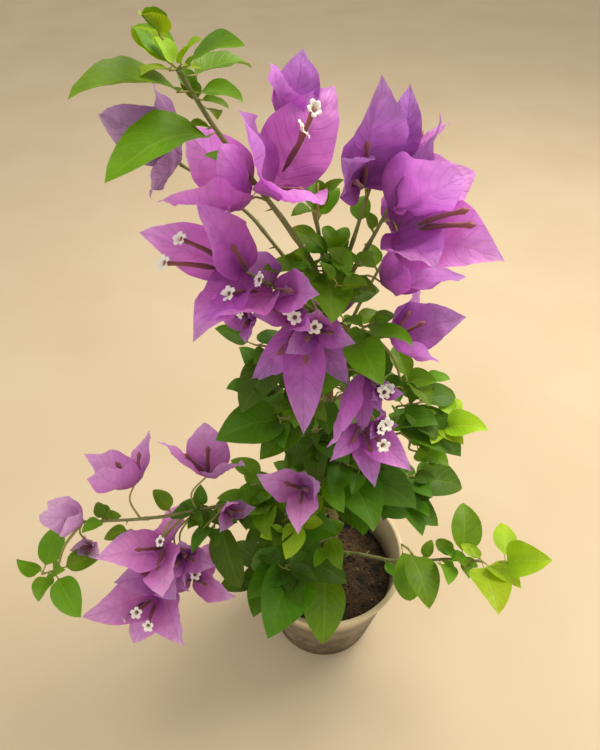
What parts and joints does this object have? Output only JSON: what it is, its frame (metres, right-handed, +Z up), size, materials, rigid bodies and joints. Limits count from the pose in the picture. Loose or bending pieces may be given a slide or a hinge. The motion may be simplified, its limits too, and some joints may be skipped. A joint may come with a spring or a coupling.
{
  "type": "potted bougainvillea plant",
  "caption": "Young bougainvillea in a small plastic nursery pot: upright leafy stem, magenta blooms at the top, an arching flowering shoot on the left.",
  "frame": {"origin": "centre of the flat underside of the pot", "axes": "+Z up the stem, -Y to the front, +X to the right as seen from the front"},
  "size_m": [0.3015, 0.1905, 0.4638],
  "materials": {
    "pot_plastic": "satin",
    "soil": "matte",
    "bark": "matte",
    "bract": "matte",
    "faded_bract": "matte",
    "leaf": "satin"
  },
  "bodies": {
    "root": {"pot": "pot_plastic", "potting_soil": "soil", "main_stem": "bark", "top_left_bough": "bark", "top_bough": "bark", "top_right_bough": "bark", "right_bough": "bark", "right_side_bough": "bark", "left_bough": "bark", "back_left_bough": "bark", "back_bough": "bark", "arching_bough": "bark", "arching_bough_end": "bark", "right_upper_bough": "bark", "right_spray_bough": "bark", "top_bloom": "bract", "topmost_bloom": "bract", "upper_right_bloom": "bract", "upper_right_back_bloom": "bract", "far_right_bloom": "bract", "right_bloom": "bract", "lower_right_bloom": "bract", "side_right_bloom": "bract", "upper_left_bloom": "bract", "left_bloom": "faded_bract", "far_left_bloom": "faded_bract", "inner_left_bloom": "bract", "front_bloom": "bract", "middle_bloom": "bract", "middle_right_bloom": "bract", "lower_bloom": "bract", "back_bloom": "bract", "spray_left_bloom": "bract", "spray_top_bloom": "bract", "spray_bud_bloom": "bract", "spray_middle_bloom": "bract", "spray_star_bloom": "bract", "spray_bottom_bloom": "bract", "shoot_tip_leaves": "leaf", "shoot_left_leaves": "leaf", "shoot_right_leaves": "leaf", "fork_leaves": "leaf", "right_fork_leaves": "leaf", "upper_left_leaves": "leaf", "middle_left_leaves": "leaf", "middle_leaves": "leaf", "middle_right_leaves": "leaf", "back_upper_leaves": "leaf", "back_lower_leaves": "leaf", "lower_left_leaves": "leaf", "lower_leaves": "leaf", "lower_right_leaves": "leaf", "foot_left_leaves": "leaf", "foot_front_leaf": "leaf", "foot_right_leaf": "leaf", "right_shoot_leaves": "leaf", "right_spray_leaves": "leaf", "right_spray_end_leaves": "leaf", "spray_inner_leaves": "leaf", "spray_end_leaves": "leaf"}
  },
  "joints": []
}
